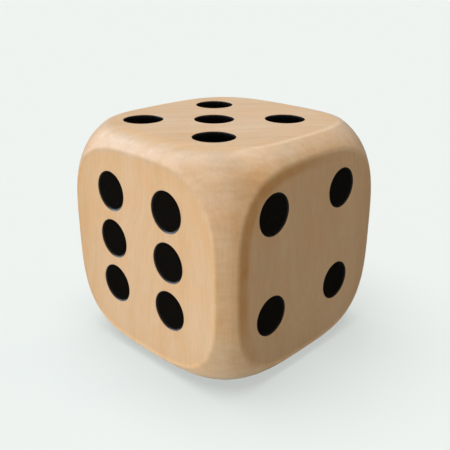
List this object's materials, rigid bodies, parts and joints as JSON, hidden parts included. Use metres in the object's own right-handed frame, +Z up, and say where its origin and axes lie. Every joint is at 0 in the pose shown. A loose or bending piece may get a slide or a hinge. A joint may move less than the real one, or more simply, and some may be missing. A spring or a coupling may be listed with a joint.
{
  "type": "giant yard die",
  "caption": "Solid wooden cube with rounded edges and corners and black dished pips in drilled pockets, thrown by hand and resting on any flat face.",
  "frame": {"origin": "centre of the flat face that the die rests on, the two's face", "axes": "+Z up through the five's face, -X out of the six's face, -Y out of the four's face"},
  "size_m": [0.0888, 0.0888, 0.0889],
  "materials": {
    "pale_hardwood": "fine sanded, clear satin seal",
    "black_enamel": "satin black filling"
  },
  "bodies": {
    "root": {"wooden_block": "pale_hardwood", "one_pip": "black_enamel", "two_pip_1": "black_enamel", "two_pip_2": "black_enamel", "three_pip_1": "black_enamel", "three_pip_2": "black_enamel", "three_pip_3": "black_enamel", "four_pip_1": "black_enamel", "four_pip_2": "black_enamel", "four_pip_3": "black_enamel", "four_pip_4": "black_enamel", "five_pip_1": "black_enamel", "five_pip_2": "black_enamel", "five_pip_3": "black_enamel", "five_pip_4": "black_enamel", "five_pip_5": "black_enamel", "six_pip_1": "black_enamel", "six_pip_2": "black_enamel", "six_pip_3": "black_enamel", "six_pip_4": "black_enamel", "six_pip_5": "black_enamel", "six_pip_6": "black_enamel"}
  },
  "joints": []
}
